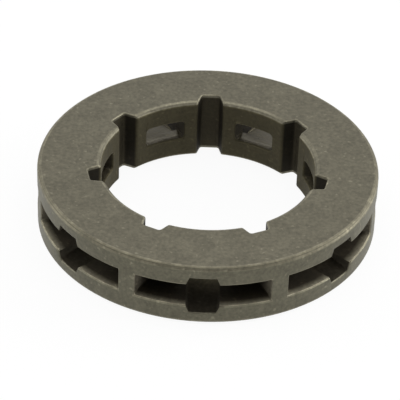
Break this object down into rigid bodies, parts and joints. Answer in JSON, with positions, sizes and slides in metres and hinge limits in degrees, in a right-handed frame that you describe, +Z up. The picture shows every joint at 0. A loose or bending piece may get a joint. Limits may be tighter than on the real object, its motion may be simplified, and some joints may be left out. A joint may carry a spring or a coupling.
{
  "type": "chainsaw rim sprocket",
  "caption": "Cast steel ring that rides on a chainsaw clutch drum's splined hub and drives the saw chain with tooth posts between two flanges.",
  "frame": {"origin": "centre of the lower face, on the axis of the bore", "axes": "+Z up along the axis of the bore; -Y out through the middle of a tooth pocket, +Y out through a tooth"},
  "size_m": [0.0356, 0.0356, 0.007],
  "materials": {
    "cast_steel": "as-cast, dark grey with a fine grain"
  },
  "bodies": {
    "root": {"rim_sprocket": "cast_steel"}
  },
  "joints": []
}
